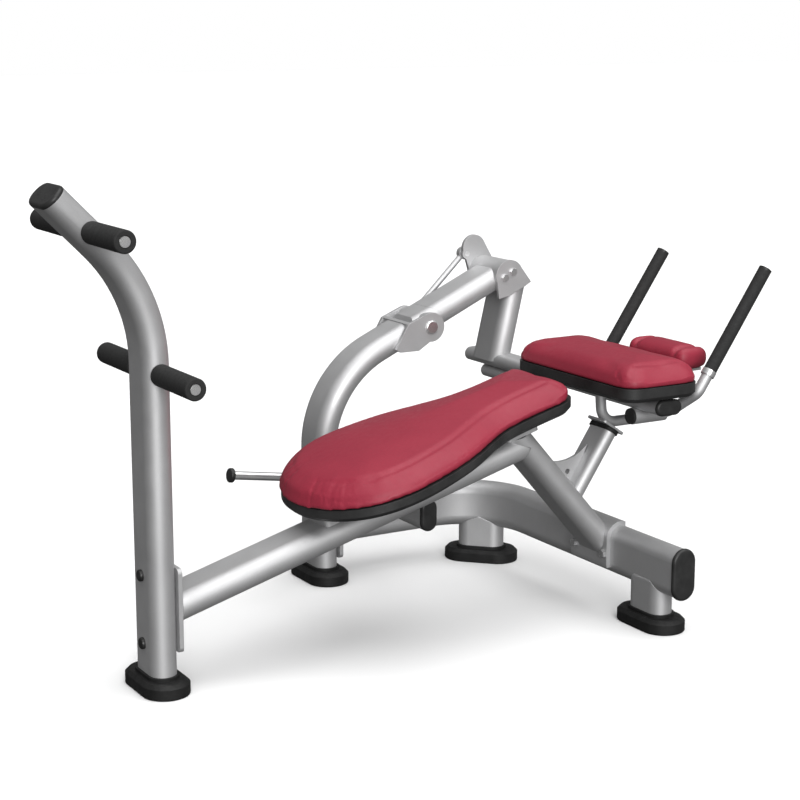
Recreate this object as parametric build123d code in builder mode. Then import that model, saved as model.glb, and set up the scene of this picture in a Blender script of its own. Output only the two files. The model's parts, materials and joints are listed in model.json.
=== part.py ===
from build123d import *

import os
from math import cos, radians, sin, tan

# Ab crunch machine, in millimetres.
# Origin: on the floor under the front post.  +X runs from the foot pegs to the head end,
# +Y points to the side that carries the lifting arm, +Z is up.

# ---------------------------------------------------------------- driving dimensions
TUBE_W, TUBE_T, WALL = 102, 51, 3  # main flat-oval tube: width, thickness, wall
PLATE = 8  # thickness of flanges and ears
CLEAR = 0.4  # gap between pieces that move past each other
RUN = 0.05  # radial clearance of a running fit

BOOT_L, BOOT_W, BOOT_H, BOOT_FLOOR = 165, 90, 28, 8
BOOT_COLLAR_H, BOOT_COLLAR_T = 34, 5

POST_TOP = (-175, 904)  # end of the front post's bent tip, X and Z
POST_CORNER_Z = 726
POST_BEND_R = 300
PEG_Z = 590  # height of the lower foot pegs
PEG_UPPER = (-118, 846)  # the upper foot pegs, X and Z
PEG_BAR_R, PEG_R, ROLLER_L = 8, 20, 150

SPINE_ANGLE = 15.8  # slope of the bench's spine
SPINE_Z = 145.4  # height of the spine's centre line over the origin
BRACE_TOP_X = 783  # where the brace's centre line meets the spine's
BRACE_FOOT = (985, 137)  # brace's centre line inside the rear beam, X and Z

REAR_X, REAR_Y, REAR_Z = 1000, 440, 129  # rear beam: its two centre planes and its height
REAR_END_Y = -264
REAR_BEND_R = 150
END_FOOT_Y = -168

ARM_X, ARM_Y = 572, 449  # foot of the arm post
ARM_BEND_R = 230
ARM_ANGLE = 24.5  # slope of the arm post's upper run and of the lifting arm
ARM_CORNER_Z = 434

WAIST = Vector(820, ARM_Y, 540)  # pivot of the lifting arm on the arm post
SHOULDER = Vector(1021, ARM_Y, 638)  # pivot of the torso frame on the lifting arm
LINK_LOW = Vector(814, ARM_Y, 517)  # link rod's pivot on the arm post's yoke
LINK_HIGH = Vector(980, ARM_Y, 677)  # link rod's pivot on the torso frame's far ear
HUB_R, SHAFT_R, BUSH_R, PIN_R = 34, 10, 13, 6
EAR_IN = TUBE_W / 2 + CLEAR  # inner face of the yoke's and the hanger's ears
EAR_OUT = EAR_IN + PLATE

SEAT_TOP, SEAT_SEAM, SEAT_UNDER = 118, 80, 56  # heights above the spine's centre line
TORSO_TOP, TORSO_SEAM, TORSO_UNDER = 532, 494, 466  # heights above the floor
TORSO_FRONT, TORSO_BACK, TORSO_HALF_W = 905, 1090, 200
CROSSBAR_X, CROSSBAR_Z, CROSSBAR_W, CROSSBAR_T = 1022, 445, 60, 30
CROSSBAR_NEAR, CROSSBAR_FAR = -175, 527

GRIP_Y, GRIP_LOW, GRIP_HIGH = 165, (1134, 507), (1266, 698)
HANDLE_R, GRIP_R = 11.5, 13.5

REST = Vector(1000, 0, 376)  # where the torso frame comes to rest on the bumper
REST_ANGLE = 56  # slope of the bumper's post


# ---------------------------------------------------------------- helpers
def slope_plane(origin, angle):
    """Plane along an uphill run in X and Z: x up the slope, y along Y, z square to it."""
    up = radians(angle)
    return Plane(origin=origin, x_dir=(cos(up), 0, sin(up)), z_dir=(-sin(up), 0, cos(up)))


def side_plane(y=0.0):
    """Plane facing -Y at the given Y, with its x along X and its y along Z."""
    return Plane(origin=(0, y, 0), x_dir=(1, 0, 0), z_dir=(0, -1, 0))


def disc_span(centre, radius, y_from, y_to):
    """Solid cylinder along Y through a centre given in X and Z."""
    with BuildPart() as rod:
        with BuildSketch(side_plane(y_to)):
            with Locations((centre.X, centre.Z)):
                Circle(radius)
        extrude(amount=y_to - y_from)
    return rod.part


def oval_run(start, end, width, thickness, wall=0.0, across=(0, 1, 0)):
    """Straight flat-oval tube, or solid bar if it has no wall, with its width along `across`."""
    run = Vector(*end) - Vector(*start)
    with BuildPart() as tube:
        with BuildSketch(Plane(origin=start, x_dir=across, z_dir=run)):
            SlotOverall(width, thickness)
            if wall:
                SlotOverall(width - 2 * wall, thickness - 2 * wall, mode=Mode.SUBTRACT)
        extrude(amount=run.length)
    return tube.part


def round_run(start, end, radius, bore=0.0):
    """Straight round bar, or tube if it has a bore."""
    run = Vector(*end) - Vector(*start)
    with BuildPart() as bar:
        with BuildSketch(Plane(origin=start, z_dir=run)):
            Circle(radius)
            if bore:
                Circle(bore, mode=Mode.SUBTRACT)
        extrude(amount=run.length)
    return bar.part


def end_cap(place, width, thickness, lip, head, plug):
    """Cap on the end of a flat-oval tube: a rounded head outside it and a plug inside its wall."""
    with BuildPart() as cap:
        with BuildSketch(place):
            SlotOverall(width + 2 * lip, thickness + 2 * lip)
        extrude(amount=head)
        fillet(cap.faces().sort_by(Axis((0, 0, 0), place.z_dir))[-1].edges(), head * 0.7)
        with BuildSketch(place):
            SlotOverall(width - 2 * WALL, thickness - 2 * WALL)
        extrude(amount=-plug)
    return cap


def save(piece, label):
    """Name a finished piece and write it to its own file."""
    piece.part.label = label
    export_step(piece.part, f"parts/{label}.step")


def spine_point(along, above=0.0):
    """Point beside the spine's centre line: distance up its slope, and height square to it."""
    return slope_plane((0, 0, SPINE_Z), SPINE_ANGLE).from_local_coords(Vector(along, 0, above))


os.makedirs("parts", exist_ok=True)


# ---------------------------------------------------------------- boots
def rubber_boot(place):
    """Oval rubber boot with a chamfered top and a collar round the tube that stands in it."""
    with BuildPart() as boot:
        with BuildSketch(place):
            SlotOverall(BOOT_L, BOOT_W)
        extrude(amount=BOOT_H)
        chamfer(boot.faces().sort_by(Axis.Z)[-1].edges(), 7)
        fillet(boot.faces().sort_by(Axis.Z)[0].edges(), 3)
        with BuildSketch(place.offset(BOOT_FLOOR)):
            SlotOverall(TUBE_W + 2 * BOOT_COLLAR_T, TUBE_T + 2 * BOOT_COLLAR_T)
        extrude(amount=BOOT_COLLAR_H - BOOT_FLOOR)
        with BuildSketch(place.offset(BOOT_FLOOR)):
            SlotOverall(TUBE_W, TUBE_T)
        extrude(amount=BOOT_COLLAR_H, mode=Mode.SUBTRACT)
    return boot.part


corner_turn = REAR_BEND_R * sin(radians(45))
CORNER_FOOT = (
    REAR_X - REAR_BEND_R + corner_turn,
    REAR_Y - REAR_BEND_R + corner_turn,
)
FRONT_PLACE = Plane(origin=(0, 0, 0), x_dir=(0, 1, 0), z_dir=(0, 0, 1))
ARM_PLACE = Plane(origin=(ARM_X, ARM_Y, 0), x_dir=(0, 1, 0), z_dir=(0, 0, 1))
CORNER_PLACE = Plane(origin=(*CORNER_FOOT, 0), x_dir=(1, -1, 0), z_dir=(0, 0, 1))
END_PLACE = Plane(origin=(REAR_X, END_FOOT_Y, 0), x_dir=(0, 1, 0), z_dir=(0, 0, 1))

with BuildPart() as boots:
    for place in (FRONT_PLACE, ARM_PLACE, CORNER_PLACE, END_PLACE):
        add(rubber_boot(place))
save(boots, "boots")


# ---------------------------------------------------------------- front post and foot pegs
FRAME_BOLT_R, FRAME_BOLT_HEAD_R, FRAME_BOLT_HEAD_T = 6, 11, 7
FLANGE_W, FLANGE_H, FLANGE_BOLT = 96, 158, 64  # width, height, and each bolt's distance from the middle
FLANGE_Z = 153  # middle of the spine's flange
peg_places = [Vector(0, 0, PEG_Z), Vector(PEG_UPPER[0], 0, PEG_UPPER[1])]

with BuildPart() as front_post:
    with BuildLine(side_plane()):
        FilletPolyline((0, BOOT_FLOOR), (0, POST_CORNER_Z), POST_TOP, radius=POST_BEND_R)
    with BuildSketch(Plane.XY.offset(BOOT_FLOOR)):
        SlotOverall(TUBE_W, TUBE_T, rotation=90)
        SlotOverall(TUBE_W - 2 * WALL, TUBE_T - 2 * WALL, rotation=90, mode=Mode.SUBTRACT)
    sweep()
    for peg in peg_places:
        add(disc_span(peg, PEG_BAR_R, -TUBE_W, TUBE_W), mode=Mode.SUBTRACT)
    for bolt_z in (FLANGE_Z - FLANGE_BOLT, FLANGE_Z + FLANGE_BOLT):
        add(round_run((-TUBE_T, 0, bolt_z), (TUBE_T, 0, bolt_z), FRAME_BOLT_R), mode=Mode.SUBTRACT)
save(front_post, "front_post")

tip_run = Vector(POST_TOP[0], 0, POST_TOP[1]) - Vector(0, 0, POST_CORNER_Z)
tip_plane = Plane(origin=(POST_TOP[0], 0, POST_TOP[1]), x_dir=(0, 1, 0), z_dir=tip_run)
save(end_cap(tip_plane, TUBE_W, TUBE_T, lip=0, head=9, plug=18), "front_post_cap")

PEG_END = TUBE_W / 2 + 1 + ROLLER_L
PEG_COUNTERBORE = 6
with BuildPart() as peg_bars:
    for peg in peg_places:
        add(disc_span(peg, PEG_BAR_R, PEG_COUNTERBORE - PEG_END, PEG_END - PEG_COUNTERBORE))
save(peg_bars, "peg_bars")

PEG_HEAD_R, PEG_HEAD_T = 9.5, 5
with BuildPart() as peg_bolts:
    for peg in peg_places:
        for side in (1, -1):
            seat_y = side * (PEG_END - PEG_COUNTERBORE)
            end_y = seat_y + side * PEG_HEAD_T
            add(disc_span(peg, PEG_HEAD_R, min(seat_y, end_y), max(seat_y, end_y)))
save(peg_bolts, "peg_bolts")


def foot_roller(peg, side):
    """Rubber roller that turns on one end of a peg bar, with a recess for the bolt's head."""
    inner = TUBE_W / 2 + 1
    with BuildPart() as roller:
        with BuildSketch(Plane(origin=(peg.X, side * inner, peg.Z), z_dir=(0, side, 0))):
            Circle(PEG_R)
            Circle(PEG_BAR_R + RUN, mode=Mode.SUBTRACT)
        extrude(amount=ROLLER_L)
        rims = roller.edges().filter_by(GeomType.CIRCLE)
        fillet(rims.filter_by(lambda rim: abs(rim.radius - PEG_R) < 1), 3)
        recess_y = side * (PEG_END - PEG_COUNTERBORE - CLEAR)
        with BuildSketch(Plane(origin=(peg.X, recess_y, peg.Z), z_dir=(0, side, 0))):
            Circle(PEG_HEAD_R + 1)
        extrude(amount=PEG_COUNTERBORE + CLEAR, mode=Mode.SUBTRACT)
    return roller


for level, peg in zip(("lower", "upper"), peg_places):
    for side, side_name in ((-1, "near"), (1, "far")):
        save(foot_roller(peg, side), f"{level}_{side_name}_roller")


# ---------------------------------------------------------------- spine and brace
FLANGE_X = TUBE_T / 2 + PLATE
spine_length = BRACE_TOP_X / cos(radians(SPINE_ANGLE))
brace_top = spine_point(spine_length)
brace_axis = Vector(BRACE_FOOT[0], 0, BRACE_FOOT[1]) - brace_top
brace_ends = (brace_top - brace_axis.normalized() * TUBE_W, Vector(BRACE_FOOT[0], 0, BRACE_FOOT[1]))
brace_body = oval_run(*brace_ends, TUBE_W, TUBE_T)
brace_tube = oval_run(*brace_ends, TUBE_W, TUBE_T, WALL)
SADDLE_T, SADDLE_HALF_Y = 9, 62
SADDLE_DROP, SADDLE_LAP = 35, 12  # how far it reaches below and past the beam's centre line
saddle_body = oval_run(
    (REAR_X, -SADDLE_HALF_Y, REAR_Z), (REAR_X, SADDLE_HALF_Y, REAR_Z),
    TUBE_W + 2 * SADDLE_T, TUBE_T + 2 * SADDLE_T, across=(0, 0, 1),
)
beam_body = oval_run(
    (REAR_X, REAR_END_Y, REAR_Z), (REAR_X, REAR_Y - REAR_BEND_R, REAR_Z),
    TUBE_W, TUBE_T, across=(0, 0, 1),
)
spine_top_plane = slope_plane(spine_point(0, TUBE_T / 2), SPINE_ANGLE)

with BuildPart() as spine_beam:
    add(oval_run(spine_point(0), brace_top, TUBE_W, TUBE_T, WALL))
    split(bisect_by=Plane(origin=(FLANGE_X, 0, 0), z_dir=(1, 0, 0)), keep=Keep.TOP)
    add(brace_body, mode=Mode.SUBTRACT)
save(spine_beam, "spine_beam")


def bolt_flange(x, y, z):
    """Upright plate with two bolt holes, standing on the +X face of a post."""
    with BuildPart() as flange:
        with BuildSketch(Plane(origin=(x, y, z), x_dir=(0, 1, 0), z_dir=(1, 0, 0))):
            RectangleRounded(FLANGE_W, FLANGE_H, 10)
            with Locations((0, -FLANGE_BOLT), (0, FLANGE_BOLT)):
                Circle(FRAME_BOLT_R, mode=Mode.SUBTRACT)
        extrude(amount=PLATE)
    return flange.part


with BuildPart() as post_flanges:
    add(bolt_flange(TUBE_T / 2, 0, FLANGE_Z))
    add(bolt_flange(ARM_X + TUBE_T / 2, ARM_Y, REAR_Z))
save(post_flanges, "post_flanges")

with BuildPart() as diagonal_brace:
    add(brace_tube)
    split(bisect_by=spine_top_plane, keep=Keep.BOTTOM)
    add(saddle_body, mode=Mode.SUBTRACT)
save(diagonal_brace, "diagonal_brace")

BRACE_BOLT_Z, BRACE_BOLT_Y = 122, 50
with BuildPart() as brace_saddle:
    add(saddle_body)
    add(beam_body, mode=Mode.SUBTRACT)
    split(bisect_by=Plane.XY.offset(REAR_Z - SADDLE_DROP), keep=Keep.TOP)
    split(bisect_by=Plane(origin=(REAR_X + SADDLE_LAP, 0, 0), z_dir=(1, 0, 0)), keep=Keep.BOTTOM)
    for y in (-BRACE_BOLT_Y, BRACE_BOLT_Y):
        add(
            round_run((REAR_X - TUBE_T, y, BRACE_BOLT_Z), (REAR_X, y, BRACE_BOLT_Z), FRAME_BOLT_R),
            mode=Mode.SUBTRACT,
        )
save(brace_saddle, "brace_saddle")


# ---------------------------------------------------------------- rear beam and its feet
def rear_beam_run(wall=0.0):
    """Rear beam along its bent route, solid if it has no wall."""
    with BuildPart() as run:
        with BuildLine(Plane.XY.offset(REAR_Z)):
            FilletPolyline(
                (REAR_X, REAR_END_Y), (REAR_X, REAR_Y), (ARM_X + FLANGE_X, REAR_Y),
                radius=REAR_BEND_R,
            )
        with BuildSketch(side_plane(REAR_END_Y)):
            with Locations((REAR_X, REAR_Z)):
                SlotOverall(TUBE_W, TUBE_T, rotation=90)
                if wall:
                    SlotOverall(TUBE_W - 2 * wall, TUBE_T - 2 * wall, rotation=90, mode=Mode.SUBTRACT)
        sweep()
    return run.part


rear_beam_body = rear_beam_run()

with BuildPart() as rear_beam:
    add(rear_beam_run(WALL))
    for y in (-BRACE_BOLT_Y, BRACE_BOLT_Y):
        add(
            round_run((REAR_X - TUBE_T, y, BRACE_BOLT_Z), (REAR_X, y, BRACE_BOLT_Z), FRAME_BOLT_R),
            mode=Mode.SUBTRACT,
        )
save(rear_beam, "rear_beam")

rear_end = Plane(origin=(REAR_X, REAR_END_Y, REAR_Z), x_dir=(0, 0, 1), z_dir=(0, -1, 0))
save(end_cap(rear_end, TUBE_W, TUBE_T, lip=2, head=8, plug=20), "rear_beam_cap")


def foot_post(place):
    """Short upright tube from a boot up to the rear beam."""
    with BuildPart() as post:
        with BuildSketch(place.offset(BOOT_FLOOR)):
            SlotOverall(TUBE_W, TUBE_T)
            SlotOverall(TUBE_W - 2 * WALL, TUBE_T - 2 * WALL, mode=Mode.SUBTRACT)
        extrude(amount=REAR_Z - BOOT_FLOOR)
        add(rear_beam_body, mode=Mode.SUBTRACT)
    return post.part


with BuildPart() as foot_posts:
    for place in (CORNER_PLACE, END_PLACE):
        add(foot_post(place))
save(foot_posts, "foot_posts")


# ---------------------------------------------------------------- arm post and its yoke
arm_up = radians(ARM_ANGLE)
arm_dir = Vector(cos(arm_up), 0, sin(arm_up))
YOKE_R, SWEEP_R = 32, 41  # yoke's ear radius, and the space the lifting arm turns in
YOKE_SKIRT = [(731, 498), (743, 491), (788, 491)]  # lower edge of the yoke's ears, X and Z
YOKE_BASE = SWEEP_R + PLATE  # from the waist pivot back to the arm post's end
YOKE_LIP = 2  # how far the yoke's base plate stands out round the tube

# The arm post's upper run passes over (ARM_X, ARM_CORNER_Z) and ends square at the yoke's base.
corner_to_waist = WAIST - Vector(ARM_X, ARM_Y, ARM_CORNER_Z)
post_run = corner_to_waist.dot(arm_dir) - YOKE_BASE
ARM_POST_END = Vector(ARM_X, ARM_Y, ARM_CORNER_Z) + arm_dir * post_run

with BuildPart() as arm_post:
    with BuildLine(side_plane(ARM_Y)):
        FilletPolyline(
            (ARM_X, BOOT_FLOOR), (ARM_X, ARM_CORNER_Z), (ARM_POST_END.X, ARM_POST_END.Z),
            radius=ARM_BEND_R,
        )
    with BuildSketch(Plane.XY.offset(BOOT_FLOOR)):
        with Locations((ARM_X, ARM_Y)):
            SlotOverall(TUBE_W, TUBE_T, rotation=90)
            SlotOverall(TUBE_W - 2 * WALL, TUBE_T - 2 * WALL, rotation=90, mode=Mode.SUBTRACT)
    sweep()
    for bolt_z in (REAR_Z - FLANGE_BOLT, REAR_Z + FLANGE_BOLT):
        add(
            round_run(
                (ARM_X - TUBE_T, ARM_Y, bolt_z), (ARM_X + TUBE_T, ARM_Y, bolt_z), FRAME_BOLT_R
            ),
            mode=Mode.SUBTRACT,
        )
save(arm_post, "arm_post")

waist_plane = slope_plane(WAIST, ARM_ANGLE)
yoke_side = Plane(origin=WAIST, x_dir=arm_dir, z_dir=(0, -1, 0))
post_offset = waist_plane.to_local_coords(ARM_POST_END).Z
skirt_points = [yoke_side.to_local_coords(Vector(x, ARM_Y, z)) for x, z in reversed(YOKE_SKIRT)]
with BuildPart() as post_yoke:
    for low, high in ((-EAR_OUT, -EAR_IN), (EAR_IN, EAR_OUT)):
        with BuildSketch(yoke_side.offset(low)):
            Circle(YOKE_R)
            with BuildLine():
                Polyline(
                    (YOKE_R * cos(radians(45)), -YOKE_R * sin(radians(45))), *skirt_points,
                    (-YOKE_BASE, post_offset + TUBE_T / 2 + YOKE_LIP), (0, YOKE_R), close=True,
                )
            make_face()
        extrude(amount=high - low)
    with BuildSketch(waist_plane.offset(post_offset - TUBE_T / 2 - YOKE_LIP)):
        with Locations((-SWEEP_R, 0)):
            Rectangle(PLATE, 2 * EAR_OUT, align=(Align.MAX, Align.CENTER))
    extrude(amount=TUBE_T + 2 * YOKE_LIP)
    add(disc_span(WAIST, SHAFT_R, ARM_Y - TUBE_W, ARM_Y + TUBE_W), mode=Mode.SUBTRACT)
    add(disc_span(LINK_LOW, PIN_R, ARM_Y, ARM_Y + TUBE_W), mode=Mode.SUBTRACT)
save(post_yoke, "post_yoke")


def flange_bolt(x, y, z):
    """Round-headed bolt from a post's -X face through its flange, with a nut behind."""
    grip = TUBE_T + PLATE
    nut_t = 7
    with BuildPart() as bolt:
        with BuildSketch(Plane(origin=(x - TUBE_T / 2, y, z), z_dir=(1, 0, 0))):
            Circle(FRAME_BOLT_R)
        extrude(amount=grip + nut_t + 2)
        with BuildSketch(Plane(origin=(x - TUBE_T / 2, y, z), z_dir=(-1, 0, 0))):
            Circle(FRAME_BOLT_HEAD_R)
        extrude(amount=FRAME_BOLT_HEAD_T)
        fillet(bolt.faces().sort_by(Axis.X)[0].edges(), 4)
        with BuildSketch(Plane(origin=(x - TUBE_T / 2 + grip, y, z), z_dir=(1, 0, 0))):
            RegularPolygon(FRAME_BOLT_HEAD_R - 1, 6)
        extrude(amount=nut_t)
    return bolt.part


with BuildPart() as flange_bolts:
    for post_x, post_y, flange_z in ((0, 0, FLANGE_Z), (ARM_X, ARM_Y, REAR_Z)):
        for bolt_z in (flange_z - FLANGE_BOLT, flange_z + FLANGE_BOLT):
            add(flange_bolt(post_x, post_y, bolt_z))
save(flange_bolts, "flange_bolts")

SADDLE_BOLT_L = 22
with BuildPart() as saddle_bolts:
    saddle_face = REAR_X - TUBE_T / 2 - SADDLE_T
    for y in (-BRACE_BOLT_Y, BRACE_BOLT_Y):
        with BuildSketch(Plane(origin=(saddle_face, y, BRACE_BOLT_Z), z_dir=(-1, 0, 0))):
            RegularPolygon(FRAME_BOLT_HEAD_R - 2, 6)
        extrude(amount=6)
        bolt_tip = (saddle_face + SADDLE_BOLT_L, y, BRACE_BOLT_Z)
        add(round_run((saddle_face, y, BRACE_BOLT_Z), bolt_tip, FRAME_BOLT_R))
save(saddle_bolts, "saddle_bolts")


# ---------------------------------------------------------------- cross tube and side horn
CROSS_W, CROSS_T, CROSS_END_Y = 64, 36, -6
spine_centre_z = SPINE_Z + ARM_X * tan(radians(SPINE_ANGLE))
touch_drop = (TUBE_T + CROSS_T) / 2 / cos(radians(SPINE_ANGLE))
CROSS_Z = spine_centre_z - touch_drop - (CROSS_W - CROSS_T) / 2  # top just meets the spine
arm_post_body = oval_run(
    (ARM_X, ARM_Y, BOOT_FLOOR), (ARM_X, ARM_Y, CROSS_Z + CROSS_W), TUBE_W, TUBE_T
)

with BuildPart() as cross_tube:
    add(
        oval_run(
            (ARM_X, CROSS_END_Y, CROSS_Z), (ARM_X, ARM_Y, CROSS_Z),
            CROSS_W, CROSS_T, WALL, across=(0, 0, 1),
        )
    )
    add(arm_post_body, mode=Mode.SUBTRACT)
save(cross_tube, "cross_tube")

cross_end = Plane(origin=(ARM_X, CROSS_END_Y, CROSS_Z), x_dir=(0, 0, 1), z_dir=(0, -1, 0))
save(end_cap(cross_end, CROSS_W, CROSS_T, lip=0, head=9, plug=16), "cross_tube_cap")

HORN_FOOT = Vector(ARM_X - TUBE_T / 2, ARM_Y - 6, 228)
HORN_TIP = Vector(366, ARM_Y - 6, 256)
HORN_R, HORN_CAP_R = 9, 15.5
with BuildPart() as horn_rod:
    add(round_run(HORN_FOOT + (HORN_FOOT - HORN_TIP).normalized() * 10, HORN_TIP, HORN_R))
    add(arm_post_body, mode=Mode.SUBTRACT)
save(horn_rod, "horn_rod")

with BuildPart() as horn_cap:
    with BuildSketch(Plane(origin=HORN_TIP, z_dir=HORN_TIP - HORN_FOOT)):
        Circle(HORN_CAP_R)
    extrude(amount=10)
    fillet(horn_cap.edges().filter_by(GeomType.CIRCLE), 3)
save(horn_cap, "horn_cap")


# ---------------------------------------------------------------- bumper post
rest_up = radians(REST_ANGLE)
rest_dir = Vector(cos(rest_up), 0, sin(rest_up))
BUMPER_T = 9
SUPPORT_W, SUPPORT_T = 70, 32
SUPPORT_L = 172  # from inside the brace up to the bumper's top
SUPPORT_FOOT = REST - rest_dir * SUPPORT_L
with BuildPart() as support_post:
    add(oval_run(SUPPORT_FOOT, REST - rest_dir * BUMPER_T, SUPPORT_W, SUPPORT_T, WALL))
    add(brace_body, mode=Mode.SUBTRACT)
save(support_post, "support_post")

with BuildPart() as bumper:
    with BuildSketch(Plane(origin=REST, x_dir=(0, 1, 0), z_dir=rest_dir)):
        SlotOverall(SUPPORT_W + 6, SUPPORT_T + 6)
    extrude(amount=-BUMPER_T)
    fillet(bumper.faces().sort_by(Axis((0, 0, 0), rest_dir))[-1].edges(), 2)
save(bumper, "bumper")

GUSSET_T = 6
GUSSET_REAR, GUSSET_LOW, GUSSET_FRONT = (955, 345), (912, 250), (861, 320)  # corners, X and Z
GUSSET_ARC, GUSSET_HOLE, GUSSET_HOLE_R = (913, 320), (906, 293), 5.5
with BuildPart() as gusset_plate:
    with BuildSketch(side_plane(GUSSET_T / 2)):
        with BuildLine():
            Polyline(GUSSET_REAR, GUSSET_LOW, GUSSET_FRONT)
            ThreePointArc(GUSSET_FRONT, GUSSET_ARC, GUSSET_REAR)
        make_face()
        with Locations(GUSSET_HOLE):
            Circle(GUSSET_HOLE_R, mode=Mode.SUBTRACT)
    extrude(amount=GUSSET_T)
    add(brace_body, mode=Mode.SUBTRACT)
    add(oval_run(SUPPORT_FOOT, REST, SUPPORT_W, SUPPORT_T), mode=Mode.SUBTRACT)
save(gusset_plate, "gusset_plate")


# ---------------------------------------------------------------- seat
SEAT_SIDE = [  # one side of the seat: distance up the spine's slope, and half width
    (312, 0), (341, 112), (400, 172), (480, 191), (560, 181), (650, 151), (730, 112), (800, 104),
    (906, 106),
]


def seat_outline(height):
    """Sketch of the seat seen square to the spine, at a height above its centre line."""
    with BuildSketch(slope_plane(spine_point(0, height), SPINE_ANGLE)) as outline:
        with BuildLine():
            near_side = [(along, -half) for along, half in reversed(SEAT_SIDE[1:])]
            Spline(*near_side, *SEAT_SIDE)
            Line(SEAT_SIDE[-1], near_side[0])
        make_face()
        fillet(outline.vertices(), 38)
    return outline.sketch


SEAT_NORMAL = Axis((0, 0, 0), (-sin(radians(SPINE_ANGLE)), 0, cos(radians(SPINE_ANGLE))))
with BuildPart() as seat_pad:
    add(seat_outline(SEAT_SEAM))
    extrude(amount=SEAT_TOP - SEAT_SEAM)
    fillet(seat_pad.faces().sort_by(SEAT_NORMAL)[-1].edges(), 12)
save(seat_pad, "seat_pad")

with BuildPart() as seat_base:
    add(seat_outline(SEAT_UNDER))
    extrude(amount=SEAT_SEAM - SEAT_UNDER)
    chamfer(seat_base.faces().sort_by(SEAT_NORMAL)[0].edges(), 8)
save(seat_base, "seat_base")


SEAT_PLATE_T = 6
FRONT_BLOCK, FRONT_PLATE = (350, 430, 90), (338, 446, 122)  # front, rear, up the slope, and width
REAR_BLOCK, REAR_PLATE = (770, 845, 90), (745, 893, 110)


def seat_slab(bottom, top, extent):
    """Slab under the seat, between two heights over the spine's centre line."""
    front, rear, width = extent
    with BuildPart() as slab:
        with BuildSketch(slope_plane(spine_point(0, bottom), SPINE_ANGLE)):
            with Locations(((front + rear) / 2, 0)):
                RectangleRounded(rear - front, width, 8)
        extrude(amount=top - bottom)
    return slab.part


def seat_bracket(block, plate):
    """Block standing on the spine, with a plate on it that the seat is screwed to."""
    with BuildPart() as bracket:
        add(seat_slab(TUBE_T / 2, SEAT_UNDER - SEAT_PLATE_T, block))
        add(seat_slab(SEAT_UNDER - SEAT_PLATE_T, SEAT_UNDER, plate))
    return bracket


save(seat_bracket(FRONT_BLOCK, FRONT_PLATE), "seat_front_bracket")
save(seat_bracket(REAR_BLOCK, REAR_PLATE), "seat_rear_bracket")


# ---------------------------------------------------------------- lifting arm
# In the arm's own plane: x up the arm from the waist pivot, z square to it.
ARM_OFFSET = 7.4  # the tube's centre line runs this far above the waist pivot
WAIST_HUB_R = 30
arm_start = waist_plane.from_local_coords(Vector(0, 0, ARM_OFFSET))
shoulder_reach = (SHOULDER - WAIST).dot(arm_dir)
arm_end = waist_plane.from_local_coords(Vector(shoulder_reach, 0, ARM_OFFSET))
arm_near, arm_far = ARM_Y - TUBE_W / 2, ARM_Y + TUBE_W / 2
tail_disc = disc_span(WAIST, SWEEP_R - 1, arm_near, arm_far)
waist_disc = disc_span(WAIST, WAIST_HUB_R, arm_near, arm_far)
shoulder_disc = disc_span(SHOULDER, HUB_R, arm_near, arm_far)

with BuildPart() as arm_tube:
    add(oval_run(arm_start, arm_end, TUBE_W, TUBE_T, WALL))
    add(tail_disc, mode=Mode.SUBTRACT)
    add(waist_disc, mode=Mode.SUBTRACT)
    add(shoulder_disc, mode=Mode.SUBTRACT)
save(arm_tube, "arm_tube")

with BuildPart() as waist_hub:
    add(oval_run(arm_start - arm_dir * TUBE_W, arm_end, TUBE_W, TUBE_T))
    add(tail_disc, mode=Mode.INTERSECT)
    add(waist_disc)
    add(disc_span(WAIST, BUSH_R, arm_near, arm_far), mode=Mode.SUBTRACT)
save(waist_hub, "waist_hub")

with BuildPart() as shoulder_hub:
    add(shoulder_disc)
    add(disc_span(SHOULDER, BUSH_R, arm_near, arm_far), mode=Mode.SUBTRACT)
save(shoulder_hub, "shoulder_hub")

BUSH_L = 30
with BuildPart() as pivot_bushes:
    for pivot in (WAIST, SHOULDER):
        for low, high in ((arm_near, arm_near + BUSH_L), (arm_far - BUSH_L, arm_far)):
            with BuildSketch(side_plane(high)):
                with Locations((pivot.X, pivot.Z)):
                    Circle(BUSH_R)
                    Circle(SHAFT_R + RUN, mode=Mode.SUBTRACT)
            extrude(amount=high - low)
save(pivot_bushes, "pivot_bushes")

with BuildPart() as waist_shaft:
    add(disc_span(WAIST, SHAFT_R, ARM_Y - EAR_OUT, ARM_Y + EAR_OUT))
    add(disc_span(WAIST, SHAFT_R + 5, ARM_Y - EAR_OUT - 5, ARM_Y - EAR_OUT))
    fillet(waist_shaft.faces().sort_by(Axis.Y)[0].edges(), 3)
save(waist_shaft, "waist_shaft")


# ---------------------------------------------------------------- link rod and its pins
LINK_Y = ARM_Y + 69
LINK_ROD_R, EYE_R, EYE_W = 6.5, 14, 14
UPPER_PLAY = 1.6  # the upper eye is loose: the rod only steers the torso frame's tilt
PIN_END = LINK_Y + EYE_W / 2 + 1


def link_pin(pivot):
    """Headed pin from the far ear's inner face out through the link rod's eye."""
    with BuildPart() as pin:
        add(disc_span(pivot, PIN_R, ARM_Y + EAR_IN, PIN_END))
        add(disc_span(pivot, PIN_R + 4, PIN_END, PIN_END + 5))
        fillet(pin.faces().sort_by(Axis.Y)[-1].edges(), 2)
    return pin


save(link_pin(LINK_LOW), "link_lower_pin")
save(link_pin(LINK_HIGH), "link_upper_pin")

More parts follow.
